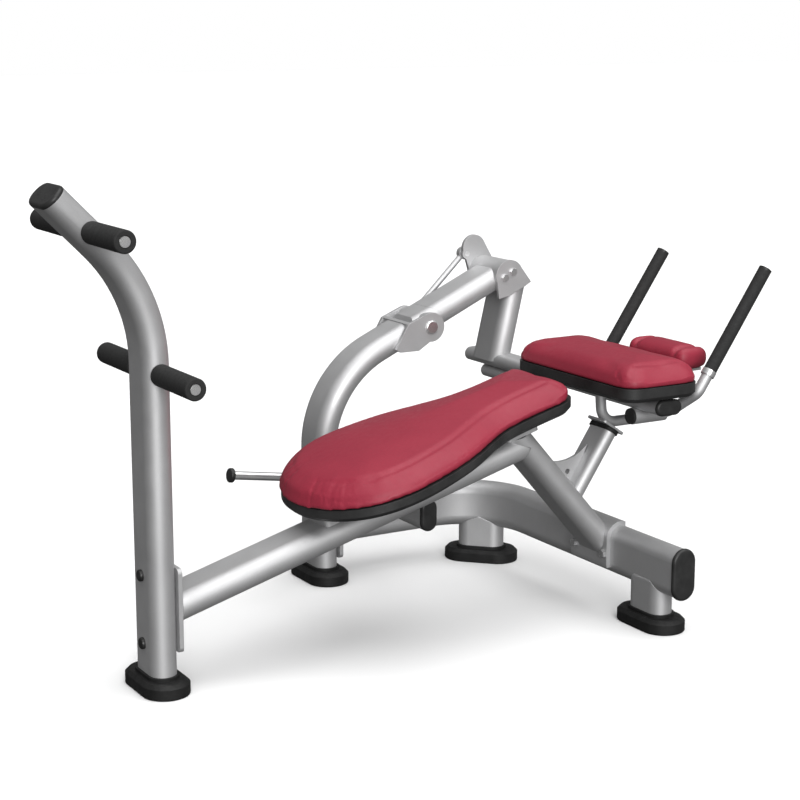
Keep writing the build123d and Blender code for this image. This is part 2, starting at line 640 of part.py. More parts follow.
with BuildPart() as link_rod:
    rod_low = Vector(LINK_LOW.X, LINK_Y, LINK_LOW.Z)
    rod_high = Vector(LINK_HIGH.X, LINK_Y, LINK_HIGH.Z)
    add(round_run(rod_low, rod_high, LINK_ROD_R))
    for pivot in (LINK_LOW, LINK_HIGH):
        add(disc_span(pivot, EYE_R, LINK_Y - EYE_W / 2, LINK_Y + EYE_W / 2))
    add(disc_span(LINK_LOW, PIN_R + RUN, ARM_Y, PIN_END), mode=Mode.SUBTRACT)
    add(disc_span(LINK_HIGH, PIN_R + UPPER_PLAY, ARM_Y, PIN_END), mode=Mode.SUBTRACT)
save(link_rod, "link_rod")


# ---------------------------------------------------------------- hanger
HANGER_FOOT = Vector(CROSSBAR_X - 5, ARM_Y, CROSSBAR_Z + 18)
HANGER_ANGLE = 76.8
hanger_up = radians(HANGER_ANGLE)
hanger_dir = Vector(cos(hanger_up), 0, sin(hanger_up))
HANGER_L = 180
HANGER_VOID = 112  # the tube is hollow this far up, solid round the shoulder hub
hanger_top = HANGER_FOOT + hanger_dir * HANGER_L
crossbar_body = oval_run(
    (CROSSBAR_X, CROSSBAR_NEAR, CROSSBAR_Z), (CROSSBAR_X, CROSSBAR_FAR, CROSSBAR_Z),
    CROSSBAR_W, CROSSBAR_T, across=(1, 0, 0),
)

with BuildPart() as hanger_tube:
    add(oval_run(HANGER_FOOT - hanger_dir * TUBE_T, hanger_top, TUBE_W, TUBE_T))
    add(
        oval_run(
            HANGER_FOOT - hanger_dir * TUBE_T, HANGER_FOOT + hanger_dir * HANGER_VOID,
            TUBE_W - 2 * WALL, TUBE_T - 2 * WALL,
        ),
        mode=Mode.SUBTRACT,
    )
    split(bisect_by=Plane.XY.offset(CROSSBAR_Z), keep=Keep.TOP)
    add(crossbar_body, mode=Mode.SUBTRACT)
    add(disc_span(SHOULDER, HUB_R + 1, arm_near - 1, arm_far + 1), mode=Mode.SUBTRACT)
save(hanger_tube, "hanger_tube")

EAR_R = 35
LOBE, LOBE_R = (998, 690), 29  # rounded top of the far ear
EAR_EDGE = [(989, 632), (994, 588), (1022, 594), (1060, 611), (1078, 621), (1054, 652)]
LOBE_EDGE = [(974, 676), (988, 630), (1054, 652), (1022, 706)]
EAR_BOLTS = ((1008, 635), (1029, 647))
EAR_BOLT_R, EAR_BOLT_HEAD = 4, 8


def hanger_ear(y, lobe):
    """Cheek plate of the hanger, facing -Y at the given Y; the far one carries the link's pin."""
    with BuildPart() as ear:
        with BuildSketch(side_plane(y)):
            with Locations((SHOULDER.X, SHOULDER.Z)):
                Circle(EAR_R)
            with BuildLine():
                Polyline(*EAR_EDGE, close=True)
            make_face()
            if lobe:
                with Locations(LOBE):
                    Circle(LOBE_R)
                with Locations((LINK_HIGH.X, LINK_HIGH.Z)):
                    Circle(2 * PIN_R)
                with BuildLine():
                    Polyline(*LOBE_EDGE, close=True)
                make_face()
        extrude(amount=PLATE)
        if lobe:
            add(disc_span(SHOULDER, SHAFT_R, y - PLATE, y), mode=Mode.SUBTRACT)
            add(disc_span(LINK_HIGH, PIN_R, y - PLATE, y), mode=Mode.SUBTRACT)
        else:
            for x, z in EAR_BOLTS:
                add(disc_span(Vector(x, 0, z), EAR_BOLT_R, y - PLATE, y), mode=Mode.SUBTRACT)
    return ear


near_ear_out = ARM_Y - EAR_OUT
save(hanger_ear(ARM_Y - EAR_IN, False), "near_ear")
save(hanger_ear(ARM_Y + EAR_OUT, True), "far_ear")

with BuildPart() as ear_bolts:
    for x, z in EAR_BOLTS:
        add(disc_span(Vector(x, 0, z), EAR_BOLT_R, near_ear_out, near_ear_out + PLATE))
        with BuildSketch(side_plane(near_ear_out)):
            with Locations((x, z)):
                RegularPolygon(EAR_BOLT_HEAD, 6)
        extrude(amount=6)
save(ear_bolts, "ear_bolts")

with BuildPart() as shoulder_shaft:
    add(disc_span(SHOULDER, SHAFT_R, ARM_Y - EAR_IN, ARM_Y + EAR_OUT))
save(shoulder_shaft, "shoulder_shaft")


# ---------------------------------------------------------------- torso frame
with BuildPart() as torso_crossbar:
    add(crossbar_body)
    add(
        oval_run(
            (CROSSBAR_X, CROSSBAR_NEAR, CROSSBAR_Z), (CROSSBAR_X, CROSSBAR_FAR - WALL, CROSSBAR_Z),
            CROSSBAR_W - 2 * WALL, CROSSBAR_T - 2 * WALL, across=(1, 0, 0),
        ),
        mode=Mode.SUBTRACT,
    )
save(torso_crossbar, "torso_crossbar")

near_end = Plane(
    origin=(CROSSBAR_X, CROSSBAR_NEAR, CROSSBAR_Z), x_dir=(1, 0, 0), z_dir=(0, -1, 0)
)
save(end_cap(near_end, CROSSBAR_W, CROSSBAR_T, lip=1, head=8, plug=14), "crossbar_cap")

STIFFENER_FROM, STIFFENER_TO = 200, 470
STIFFENER_W, STIFFENER_T = 46, 28
stiffener_z = CROSSBAR_Z - CROSSBAR_T
with BuildPart() as crossbar_stiffener:
    add(
        oval_run(
            (CROSSBAR_X, STIFFENER_FROM, stiffener_z), (CROSSBAR_X, STIFFENER_TO, stiffener_z),
            STIFFENER_W, STIFFENER_T, across=(1, 0, 0),
        )
    )
    add(crossbar_body, mode=Mode.SUBTRACT)
save(crossbar_stiffener, "crossbar_stiffener")

CROSSBAR_TOP = CROSSBAR_Z + CROSSBAR_T / 2
TORSO_PLATE_T = TORSO_UNDER - CROSSBAR_TOP
TORSO_PLATE_FRONT, TORSO_PLATE_BACK, TORSO_PLATE_W = 940, 1125, 140
HEAD_X = 1150  # middle of the head pad
HEAD_BAR_BACK, HEAD_BAR_W = HEAD_X + 30, 60
HEAD_LOW, HEAD_HIGH = 495, 545
HEAD_NEAR, HEAD_FAR = -102, 86
with BuildPart() as torso_plate:
    with BuildSketch(Plane.XY.offset(CROSSBAR_TOP)):
        with Locations((TORSO_PLATE_FRONT, 0)):
            for back, width in ((TORSO_PLATE_BACK, TORSO_PLATE_W), (HEAD_BAR_BACK, HEAD_BAR_W)):
                Rectangle(back - TORSO_PLATE_FRONT, width, align=(Align.MIN, Align.CENTER))
    extrude(amount=TORSO_PLATE_T)
    fillet(torso_plate.edges().filter_by(Axis.Z).group_by(Axis.X)[0], 10)
save(torso_plate, "torso_plate")


def torso_outline(height):
    """Sketch of the torso pad seen from above, at a height over the floor."""
    with BuildSketch(Plane.XY.offset(height)) as outline:
        with Locations(((TORSO_FRONT + TORSO_BACK) / 2, 0)):
            Rectangle(TORSO_BACK - TORSO_FRONT, 2 * TORSO_HALF_W)
        fillet(outline.vertices(), 38)
    return outline.sketch


with BuildPart() as torso_pad:
    add(torso_outline(TORSO_SEAM))
    extrude(amount=TORSO_TOP - TORSO_SEAM)
    fillet(torso_pad.faces().sort_by(Axis.Z)[-1].edges(), 12)
save(torso_pad, "torso_pad")

with BuildPart() as torso_base:
    add(torso_outline(TORSO_UNDER))
    extrude(amount=TORSO_SEAM - TORSO_UNDER)
    chamfer(torso_base.faces().sort_by(Axis.Z)[0].edges(), 8)
save(torso_base, "torso_base")

HEAD_PLATE_T, HEAD_PLATE_L, HEAD_PLATE_W = 5, 66, 150
HEAD_PAD_W = 80
with BuildPart() as head_bracket:
    with BuildSketch(Plane.XY.offset(TORSO_UNDER)):
        with Locations((HEAD_X, 0)):
            Rectangle(HEAD_BAR_W, HEAD_BAR_W)
    extrude(amount=HEAD_LOW - HEAD_PLATE_T - TORSO_UNDER)
    with BuildSketch(Plane.XY.offset(HEAD_LOW - HEAD_PLATE_T)):
        with Locations((HEAD_X, (HEAD_NEAR + HEAD_FAR) / 2)):
            RectangleRounded(HEAD_PLATE_L, HEAD_PLATE_W, 8)
    extrude(amount=HEAD_PLATE_T)
save(head_bracket, "head_bracket")

with BuildPart() as head_pad:
    with BuildSketch(side_plane(HEAD_FAR)) as head_profile:
        with Locations((HEAD_X, (HEAD_LOW + HEAD_HIGH) / 2)):
            Rectangle(HEAD_PAD_W, HEAD_HIGH - HEAD_LOW)
        fillet(head_profile.vertices(), 20)
    extrude(amount=HEAD_FAR - HEAD_NEAR)
    for end in (0, -1):
        fillet(head_pad.faces().sort_by(Axis.Y)[end].edges(), 14)
save(head_pad, "head_pad")


# ---------------------------------------------------------------- rest loop and plate
LOOP_R, LOOP_BEND = 11, 35
LOOP_TOP_X, LOOP_X, LOOP_Z = 986, 992, 384
LOOP_BACK_X = HEAD_X - 30
with BuildPart() as rest_loop:
    with BuildLine(side_plane()):
        FilletPolyline(
            (LOOP_TOP_X, CROSSBAR_TOP), (LOOP_X, LOOP_Z), (LOOP_BACK_X, LOOP_Z),
            (LOOP_BACK_X, CROSSBAR_TOP), radius=LOOP_BEND,
        )
    loop_run = Vector(LOOP_X - LOOP_TOP_X, 0, LOOP_Z - CROSSBAR_TOP)
    with BuildSketch(Plane(origin=(LOOP_TOP_X, 0, CROSSBAR_TOP), z_dir=loop_run)):
        Circle(LOOP_R)
    sweep()
    split(bisect_by=Plane.XY.offset(CROSSBAR_TOP), keep=Keep.BOTTOM)
    add(crossbar_body, mode=Mode.SUBTRACT)
save(rest_loop, "rest_loop")

REST_PLATE_T, REST_PLATE_L, REST_PLATE_W = 5, 60, 60
with BuildPart() as rest_plate:
    with BuildSketch(Plane(origin=REST + rest_dir * CLEAR, x_dir=(0, 1, 0), z_dir=rest_dir)):
        RectangleRounded(REST_PLATE_W, REST_PLATE_L, 6)
    extrude(amount=REST_PLATE_T)
    add(rest_loop.part, mode=Mode.SUBTRACT)
save(rest_plate, "rest_plate")


# ---------------------------------------------------------------- handles
# The near handle runs in a receiver under the crossbar; the far one is welded to its +X side.
RECEIVER_Y, RECEIVER_Z, RECEIVER_R = 100, 417, 17
RECEIVER_FRONT, RECEIVER_BACK = 991, 1070
ELBOW_X, ELBOW_R = 1088, 20  # where a handle tube turns outwards, and its bend
PLUG_DEPTH = 16
near_mouth = Vector(RECEIVER_FRONT, -RECEIVER_Y, RECEIVER_Z)
near_socket = near_mouth + Vector(PLUG_DEPTH, 0, 0)
far_root = Vector(CROSSBAR_X, RECEIVER_Y, CROSSBAR_Z)
handle_run = Vector(GRIP_HIGH[0] - GRIP_LOW[0], 0, GRIP_HIGH[1] - GRIP_LOW[1]).normalized()
HANDLE_SHANK = 52  # straight run below each grip
HANDLE_CORNER = Vector(GRIP_LOW[0], 0, GRIP_LOW[1]) - handle_run * HANDLE_SHANK
COLLAR_L, COLLAR_R = 12, 14.5
GRIP_CAP_T = 5


def grip_point(side, along):
    """Point on a handle's upper run, at a distance above the foot of its grip."""
    foot = Vector(GRIP_LOW[0], side * GRIP_Y, GRIP_LOW[1])
    return foot + handle_run * along


grip_length = (Vector(*GRIP_HIGH) - Vector(*GRIP_LOW)).length

with BuildPart() as receiver:
    add(round_run(near_mouth, (RECEIVER_BACK, near_mouth.Y, RECEIVER_Z), RECEIVER_R, HANDLE_R))
    add(crossbar_body, mode=Mode.SUBTRACT)
save(receiver, "receiver")

with BuildPart() as receiver_plug:
    add(round_run(near_mouth, near_socket, HANDLE_R))
    add(round_run(near_mouth - Vector(5, 0, 0), near_mouth, RECEIVER_R - 1))
save(receiver_plug, "receiver_plug")


def handle_tube(root, side):
    """Bent tube from its root at the crossbar, out to one side and up to the top of its grip."""
    with BuildPart() as tube:
        with BuildLine():
            FilletPolyline(
                root, (ELBOW_X, root.Y, root.Z),
                (HANDLE_CORNER.X, side * GRIP_Y, HANDLE_CORNER.Z), grip_point(side, grip_length),
                radius=ELBOW_R,
            )
        with BuildSketch(Plane(origin=root, z_dir=(1, 0, 0))):
            Circle(HANDLE_R)
        sweep()
    return tube.part


with BuildPart() as handle_tubes:
    add(handle_tube(near_socket, -1))
    add(handle_tube(far_root, 1))
    add(crossbar_body, mode=Mode.SUBTRACT)
save(handle_tubes, "handle_tubes")

with BuildPart() as grip_collars:
    for side in (-1, 1):
        add(round_run(grip_point(side, -COLLAR_L), grip_point(side, 0), COLLAR_R, HANDLE_R))
save(grip_collars, "grip_collars")

with BuildPart() as handle_grips:
    for side in (-1, 1):
        add(round_run(grip_point(side, 0), grip_point(side, grip_length), GRIP_R, HANDLE_R))
save(handle_grips, "handle_grips")

with BuildPart() as grip_caps:
    for side in (-1, 1):
        cap_ends = grip_point(side, grip_length), grip_point(side, grip_length + GRIP_CAP_T)
        add(round_run(*cap_ends, GRIP_R))
save(grip_caps, "grip_caps")
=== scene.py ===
import json
import math

import bpy
import numpy as np
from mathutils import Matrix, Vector
from mathutils.kdtree import KDTree


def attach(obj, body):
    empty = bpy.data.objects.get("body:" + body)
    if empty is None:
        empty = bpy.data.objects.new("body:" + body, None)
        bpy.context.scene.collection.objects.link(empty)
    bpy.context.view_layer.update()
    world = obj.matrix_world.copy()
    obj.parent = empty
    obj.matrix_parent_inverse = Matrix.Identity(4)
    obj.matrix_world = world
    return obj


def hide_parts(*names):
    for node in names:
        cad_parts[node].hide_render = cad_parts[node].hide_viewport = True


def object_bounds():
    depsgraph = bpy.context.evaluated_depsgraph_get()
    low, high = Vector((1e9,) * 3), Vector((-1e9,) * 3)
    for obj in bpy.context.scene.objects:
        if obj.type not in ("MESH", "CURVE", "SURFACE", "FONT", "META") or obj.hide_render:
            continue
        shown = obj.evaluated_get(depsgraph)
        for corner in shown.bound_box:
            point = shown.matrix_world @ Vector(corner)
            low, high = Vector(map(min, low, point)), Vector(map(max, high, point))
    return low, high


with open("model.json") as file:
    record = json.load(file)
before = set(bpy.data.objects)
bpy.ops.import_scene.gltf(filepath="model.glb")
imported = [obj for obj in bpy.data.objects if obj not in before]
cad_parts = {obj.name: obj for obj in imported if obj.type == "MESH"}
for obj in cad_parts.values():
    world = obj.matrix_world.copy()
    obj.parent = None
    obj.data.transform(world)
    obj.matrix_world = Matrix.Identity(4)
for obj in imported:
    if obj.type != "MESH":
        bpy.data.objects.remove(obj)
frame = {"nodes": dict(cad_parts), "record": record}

CAD_LOW, CAD_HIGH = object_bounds()

# ---------------------------------------------------------------- camera and light
# Places are in metres and angles in degrees.
CAMERA_PLACE = Vector((-1.2510, -3.0226, 1.2160))
CAMERA_TURN, CAMERA_DROP = 30.27, 11.84  # to the right of +Y, and below the horizon
CAMERA_LENS = 84.15
KEY_FROM = Vector((-0.34, -0.90, 0.28))  # direction towards the key light
KEY_STRENGTH, KEY_SOFTNESS = 2.45, 32
TOP_FROM = Vector((0.10, -0.25, 1.0))
TOP_STRENGTH, TOP_SOFTNESS = 2.6, 70
SKY_TOWARDS = (0.16, -0.50, 0.85)  # brightest part of the sky
SKY_DIM, SKY_BRIGHT = 0.05, 0.55  # facing away from that part, and at it
FLOOR_SIZE = 60

# ---------------------------------------------------------------- cushions, in metres
VOXEL = 0.005
HELD_DEPTH = 2 * VOXEL  # how much of a pad, from its underside up, the swelling leaves in place
PRESSURE, SIM_FRAMES = 4, 20
EASING = 20  # smoothing passes that soften the puckers of the swollen cloth
UP_FACING = 0.5  # a face whose normal points up by more than this may be a pad's top
SIDE_FACING = 0.25  # a point whose normal points up by less than this is on a pad's side
NEARLY_ZERO = 1e-6  # the least that anything is divided by

# CROWN is how far a top rises at most, and CROWN_WIDTH how far in from the outline that rise reaches.
# A seam runs SEAM_IN from the outline and is SEAM_DEPTH deep, and outside it the top slopes down by
# SHOULDER. Where the outline has no seam, the top falls by DROP over a band of WIDTH. The seam begins
# to show where the shortest way to the outline runs across the pad by more than START, from 0 to 1,
# and shows fully from START plus SPAN.
SEAM_WIDTH = 0.0045

SEAT_CROWN, SEAT_CROWN_WIDTH = 0.018, 0.085
SEAT_SEAM_IN, SEAT_SHOULDER, SEAT_SEAM_DEPTH = 0.036, 0.016, 0.0045
SEAT_NOSE_DROP, SEAT_NOSE_WIDTH = 0.010, 0.040
SEAT_SIDES_START, SEAT_SIDES_SPAN = 0.25, 0.4

TORSO_CROWN, TORSO_CROWN_WIDTH = 0.013, 0.07
TORSO_SEAM_IN, TORSO_SHOULDER, TORSO_SEAM_DEPTH = 0.032, 0.014, 0.004
TORSO_EDGE_DROP, TORSO_EDGE_WIDTH = 0.008, 0.030
TORSO_ENDS_START, TORSO_ENDS_SPAN = 0.4, 0.3

HEAD_FOLD_IN, HEAD_FOLD_DEPTH, HEAD_FOLD_WIDTH = 0.028, 0.009, 0.006

# ---------------------------------------------------------------- materials' common values
NOISE_LOW, NOISE_HIGH = 0.3, 0.7  # most of a noise texture lies between these
BEVEL_SAMPLES = 4
FLAKE, VINYL_GRAIN = 0.0007, 0.0020  # sizes of the paint's flakes and the vinyl's grain, in metres


# ---------------------------------------------------------------- material helper
class Surface:
    """A Principled material with shorthand for its noise, colour, roughness and bump nodes."""

    def __init__(self, name, roughness=0.5, metallic=0.0, specular=0.5, edge=0.0):
        self.material = bpy.data.materials.new(name)
        self.material.use_nodes = True
        self.nodes = self.material.node_tree.nodes
        self.link = self.material.node_tree.links.new
        self.shader = self.nodes["Principled BSDF"]
        self.shader.inputs["Roughness"].default_value = roughness
        self.shader.inputs["Metallic"].default_value = metallic
        self.shader.inputs["Specular IOR Level"].default_value = specular
        self.place = self.nodes.new("ShaderNodeTexCoord").outputs["Object"]
        self.normal = None
        if edge:
            rounding = self.nodes.new("ShaderNodeBevel")
            rounding.samples = BEVEL_SAMPLES
            rounding.inputs["Radius"].default_value = edge
            self.normal = rounding.outputs["Normal"]
            self.link(self.normal, self.shader.inputs["Normal"])

    def noise(self, size, detail=3.0, stretch=(1, 1, 1)):
        """Cloudy noise whose features are about `size` metres across."""
        mapping = self.nodes.new("ShaderNodeMapping")
        mapping.inputs["Scale"].default_value = stretch
        self.link(self.place, mapping.inputs["Vector"])
        texture = self.nodes.new("ShaderNodeTexNoise")
        texture.inputs["Scale"].default_value = 1 / size
        texture.inputs["Detail"].default_value = detail
        self.link(mapping.outputs["Vector"], texture.inputs["Vector"])
        return texture.outputs["Fac"]

    def cells(self, size, feature="F1"):
        """Cell pattern with cells about `size` metres across."""
        texture = self.nodes.new("ShaderNodeTexVoronoi")
        texture.feature = feature
        texture.inputs["Scale"].default_value = 1 / size
        self.link(self.place, texture.inputs["Vector"])
        return texture.outputs["Distance"]

    def ramp(self, value, stops):
        """Colours at places along a value, as (place, colour) pairs."""
        ramp = self.nodes.new("ShaderNodeValToRGB")
        marks = ramp.color_ramp.elements
        while len(marks) < len(stops):
            marks.new(1.0)
        for mark, (place, colour) in zip(marks, stops):
            mark.position = place
            mark.color = (*colour, 1)
        self.link(value, ramp.inputs["Fac"])
        return ramp.outputs["Color"]

    def multiply(self, first, second):
        """One colour darkened by another."""
        mixer = self.nodes.new("ShaderNodeMix")
        mixer.data_type = "RGBA"
        mixer.blend_type = "MULTIPLY"
        mixer.inputs["Factor"].default_value = 1
        colours = [socket for socket in mixer.inputs if socket.type == "RGBA"]
        self.link(first, colours[0])
        self.link(second, colours[1])
        return next(socket for socket in mixer.outputs if socket.type == "RGBA")

    def colour(self, value):
        """Set the surface's own colour."""
        self.link(value, self.shader.inputs["Base Color"])

    def vary_roughness(self, value, low, high):
        """Roughness that follows a value between two limits."""
        spread = self.nodes.new("ShaderNodeMapRange")
        spread.inputs["From Min"].default_value = NOISE_LOW
        spread.inputs["From Max"].default_value = NOISE_HIGH
        spread.inputs["To Min"].default_value = low
        spread.inputs["To Max"].default_value = high
        self.link(value, spread.inputs["Value"])
        self.link(spread.outputs["Result"], self.shader.inputs["Roughness"])

    def bump(self, value, height, strength=1.0):
        """Relief `height` metres deep, laid over any put on before it."""
        relief = self.nodes.new("ShaderNodeBump")
        relief.inputs["Strength"].default_value = strength
        relief.inputs["Distance"].default_value = height
        self.link(value, relief.inputs["Height"])
        if self.normal:
            self.link(self.normal, relief.inputs["Normal"])
        self.normal = relief.outputs["Normal"]
        self.link(self.normal, self.shader.inputs["Normal"])


def grey(level):
    """A neutral colour."""
    return (level, level, level)


# ---------------------------------------------------------------- materials
def frame_paint():
    """Satin silver powder coat: fine metallic flake, faint orange peel and slow changes of tone."""
    paint = Surface("frame_paint", metallic=0.85, edge=0.0012)
    flake = paint.ramp(
        paint.cells(size=FLAKE), [(0.0, (0.66, 0.66, 0.665)), (0.6, (0.54, 0.54, 0.545))]
    )
    tone = paint.ramp(paint.noise(size=0.18), [(NOISE_LOW, grey(0.90)), (NOISE_HIGH, grey(1.0))])
    paint.colour(paint.multiply(flake, tone))
    paint.vary_roughness(paint.noise(size=0.03), low=0.54, high=0.60)
    paint.bump(paint.noise(size=0.004, detail=1), height=0.00012, strength=0.5)
    paint.bump(paint.cells(size=FLAKE), height=0.00004, strength=0.4)
    return paint.material


def bright_steel():
    """Zinc-plated steel with fine turning marks."""
    steel = Surface("bright_steel", metallic=1.0, edge=0.0006)
    steel.colour(steel.ramp(
        steel.noise(size=0.02), [(NOISE_LOW, (0.78, 0.78, 0.79)), (NOISE_HIGH, (0.90, 0.90, 0.89))]
    ))
    marks = steel.noise(size=0.0008, detail=2, stretch=(1, 8, 1))
    steel.vary_roughness(marks, low=0.24, high=0.38)
    steel.bump(marks, height=0.00003, strength=0.5)
    return steel.material


def black_steel():
    """Black-oxide steel, a little polished where it is handled."""
    steel = Surface("black_steel", metallic=0.8, edge=0.0006)
    steel.colour(steel.ramp(
        steel.noise(size=0.015), [(NOISE_LOW, grey(0.025)), (NOISE_HIGH, grey(0.060))]
    ))
    steel.vary_roughness(steel.noise(size=0.004), low=0.32, high=0.50)
    steel.bump(steel.noise(size=0.0015), height=0.00003, strength=0.5)
    return steel.material


def bearing_bronze():
    """Oil-filled bronze with fine pores."""
    bronze = Surface("bearing_bronze", metallic=1.0)
    bronze.colour(bronze.ramp(
        bronze.noise(size=0.006), [(NOISE_LOW, (0.42, 0.25, 0.10)), (NOISE_HIGH, (0.60, 0.38, 0.17))]
    ))
    bronze.vary_roughness(bronze.noise(size=0.002), low=0.30, high=0.48)
    bronze.bump(bronze.cells(size=0.0009), height=0.00004, strength=0.6)
    return bronze.material


def black_rubber():
    """Moulded rubber: matt, finely pitted, with a dusty bloom."""
    rubber = Surface("black_rubber", specular=0.3, edge=0.001)
    rubber.colour(rubber.ramp(rubber.noise(size=0.025), [(NOISE_LOW, grey(0.004)), (0.75, grey(0.011))]))
    rubber.vary_roughness(rubber.noise(size=0.008), low=0.50, high=0.68)
    rubber.bump(rubber.noise(size=0.0009, detail=2), height=0.00012, strength=0.5)
    return rubber.material


def black_foam():
    """Closed-cell foam sleeve: dull, with an open-looking pitted skin."""
    foam = Surface("black_foam", specular=0.3)
    foam.colour(foam.ramp(foam.cells(size=0.0012), [(0.0, grey(0.006)), (0.5, grey(0.022))]))
    foam.vary_roughness(foam.noise(size=0.01), low=0.70, high=0.88)
    foam.bump(foam.cells(size=0.0012), height=0.0003, strength=0.7)
    return foam.material


def black_plastic():
    """Injection-moulded plastic with a light spark-eroded grain."""
    plastic = Surface("black_plastic", specular=0.35, edge=0.0006)
    plastic.colour(plastic.ramp(
        plastic.noise(size=0.02), [(NOISE_LOW, grey(0.012)), (NOISE_HIGH, grey(0.024))]
    ))
    plastic.vary_roughness(plastic.noise(size=0.003), low=0.34, high=0.48)
    plastic.bump(plastic.noise(size=0.0007, detail=1), height=0.00006, strength=0.6)
    return plastic.material


def dark_shell():
    """Vacuum-formed shell with a coarse leather grain."""
    shell = Surface("dark_shell", specular=0.35, edge=0.002)
    shell.colour(shell.ramp(
        shell.noise(size=0.05), [(NOISE_LOW, grey(0.013)), (NOISE_HIGH, grey(0.028))]
    ))
    shell.vary_roughness(shell.noise(size=0.006), low=0.40, high=0.56)
    shell.bump(shell.cells(size=0.0028, feature="DISTANCE_TO_EDGE"), height=0.0005, strength=0.7)
    shell.bump(shell.noise(size=0.0010), height=0.00008, strength=0.5)
    return shell.material


def red_vinyl():
    """Wine-red upholstery vinyl: leather grain, creased cells with painted shade darkening the creases,
    and slow changes of tone.
    """
    vinyl = Surface("red_vinyl", specular=0.35)
    tone = vinyl.ramp(
        vinyl.noise(size=0.12), [(NOISE_LOW, (0.262, 0.018, 0.039)), (NOISE_HIGH, (0.292, 0.022, 0.044))]
    )
    # painted shade: the colour is darkened to 0.8 along the cell edges, the creases that the grain bump
    # below sinks
    grain = vinyl.ramp(
        vinyl.cells(size=VINYL_GRAIN, feature="DISTANCE_TO_EDGE"), [(0.0, grey(0.80)), (0.12, grey(1.0))]
    )
    vinyl.colour(vinyl.multiply(tone, grain))
    vinyl.vary_roughness(vinyl.noise(size=0.012), low=0.44, high=0.54)
    vinyl.bump(vinyl.noise(size=0.030), height=0.0010, strength=0.25)
    vinyl.bump(vinyl.cells(size=VINYL_GRAIN, feature="DISTANCE_TO_EDGE"), height=0.0004, strength=0.5)
    vinyl.bump(vinyl.noise(size=0.0006, detail=2), height=0.00005, strength=0.4)
    return vinyl.material


OTHER_FINISH = {"grip_caps": "black_plastic"}  # nodes that don't show the finish of their slot
MATERIALS = {
    maker.__name__: maker()
    for maker in (
        frame_paint, bright_steel, black_steel, bearing_bronze, black_rubber, black_foam,
        black_plastic, dark_shell, red_vinyl,
    )
}


def finish_cad_nodes():
    """Give every CAD node the material of its slot."""
    slots = {part["node"]: part["material_slot"] for part in frame["record"]["subparts"]}
    for name, piece in frame["nodes"].items():
        piece.data.materials.clear()
        piece.data.materials.append(MATERIALS[OTHER_FINISH.get(name, slots[name])])


# ---------------------------------------------------------------- cushions
def settle(piece):
    """Put what a piece's modifiers do into its mesh, and take them off."""
    bpy.context.view_layer.update()
    seen = piece.evaluated_get(bpy.context.evaluated_depsgraph_get())
    shape = bpy.data.meshes.new_from_object(seen)
    piece.modifiers.clear()
    piece.data = shape


def points_of(piece):
    """The piece's vertices as an array."""
    flat = np.empty(len(piece.data.vertices) * 3)
    piece.data.vertices.foreach_get("co", flat)
    return flat.reshape(-1, 3)


def move_points(piece, points):
    """Put the piece's vertices at these places."""
    piece.data.vertices.foreach_set("co", points.ravel())
    piece.data.update()


def normals_of(piece):
    """The piece's vertex normals as an array."""
    flat = np.empty(len(piece.data.vertices) * 3)
    piece.data.vertex_normals.foreach_get("vector", flat)
    return flat.reshape(-1, 3)


def pad_axes(cad):
    """A pad's own axes as matrix rows: along, across and up, with up square to its largest face."""
    tops = [face for face in cad.data.polygons if face.normal.z > UP_FACING]
    top = max(tops, key=lambda face: face.area)
    up = top.normal.normalized()
    across = Vector((0, 1, 0))
    return np.array((across.cross(up), across, up))


def inflate(piece, axes, cap):
    """Blow the piece up as cloth under pressure, held along its underside, and apply the result."""
    start = points_of(piece)
    heights = start @ axes[2]
    held = piece.vertex_groups.new(name="held")
    held.add(np.flatnonzero(heights < heights.min() + HELD_DEPTH).tolist(), 1.0, "REPLACE")
    cloth = piece.modifiers.new("swell", "CLOTH")
    cloth.settings.use_pressure = True
    cloth.settings.uniform_pressure_force = PRESSURE
    cloth.settings.vertex_group_mass = held.name
    cloth.settings.effector_weights.gravity = 0
    for moment in range(1, SIM_FRAMES + 1):
        bpy.context.scene.frame_set(moment)
    settle(piece)
    bpy.context.scene.frame_set(1)
    shift = points_of(piece) - start
    reach = np.linalg.norm(shift, axis=1, keepdims=True)
    move_points(piece, start + shift * np.minimum(1, cap / np.maximum(reach, NEARLY_ZERO)))


def edge_distance(local, facing_up):
    """Each point's distance in from the pad's outline, and how far that way runs across the pad."""
    rim = local[np.abs(facing_up) < SIDE_FACING][:, :2]
    tree = KDTree(len(rim))
    for index, (along, across) in enumerate(rim):
        tree.insert((along, across, 0), index)
    tree.balance()
    found = [tree.find((along, across, 0)) for along, across in local[:, :2]]
    distance = np.array([hit[2] for hit in found])
    way = np.array([hit[0][1] for hit in found]) - local[:, 1]
    return distance, np.abs(way) / np.maximum(distance, NEARLY_ZERO)


def crown(distance, height, width):
    """Rise of a pad's top from its outline towards its middle."""
    return height * (1 - np.exp(-((distance / width) ** 2)))


def seam(distance, where, shoulder, depth):
    """A sewn seam at a distance in from the outline, with the panel outside it sloping down."""
    slope = shoulder * (1 - np.clip(distance / where, 0, 1))
    return -slope - depth * np.exp(-(((distance - where) / SEAM_WIDTH) ** 2))


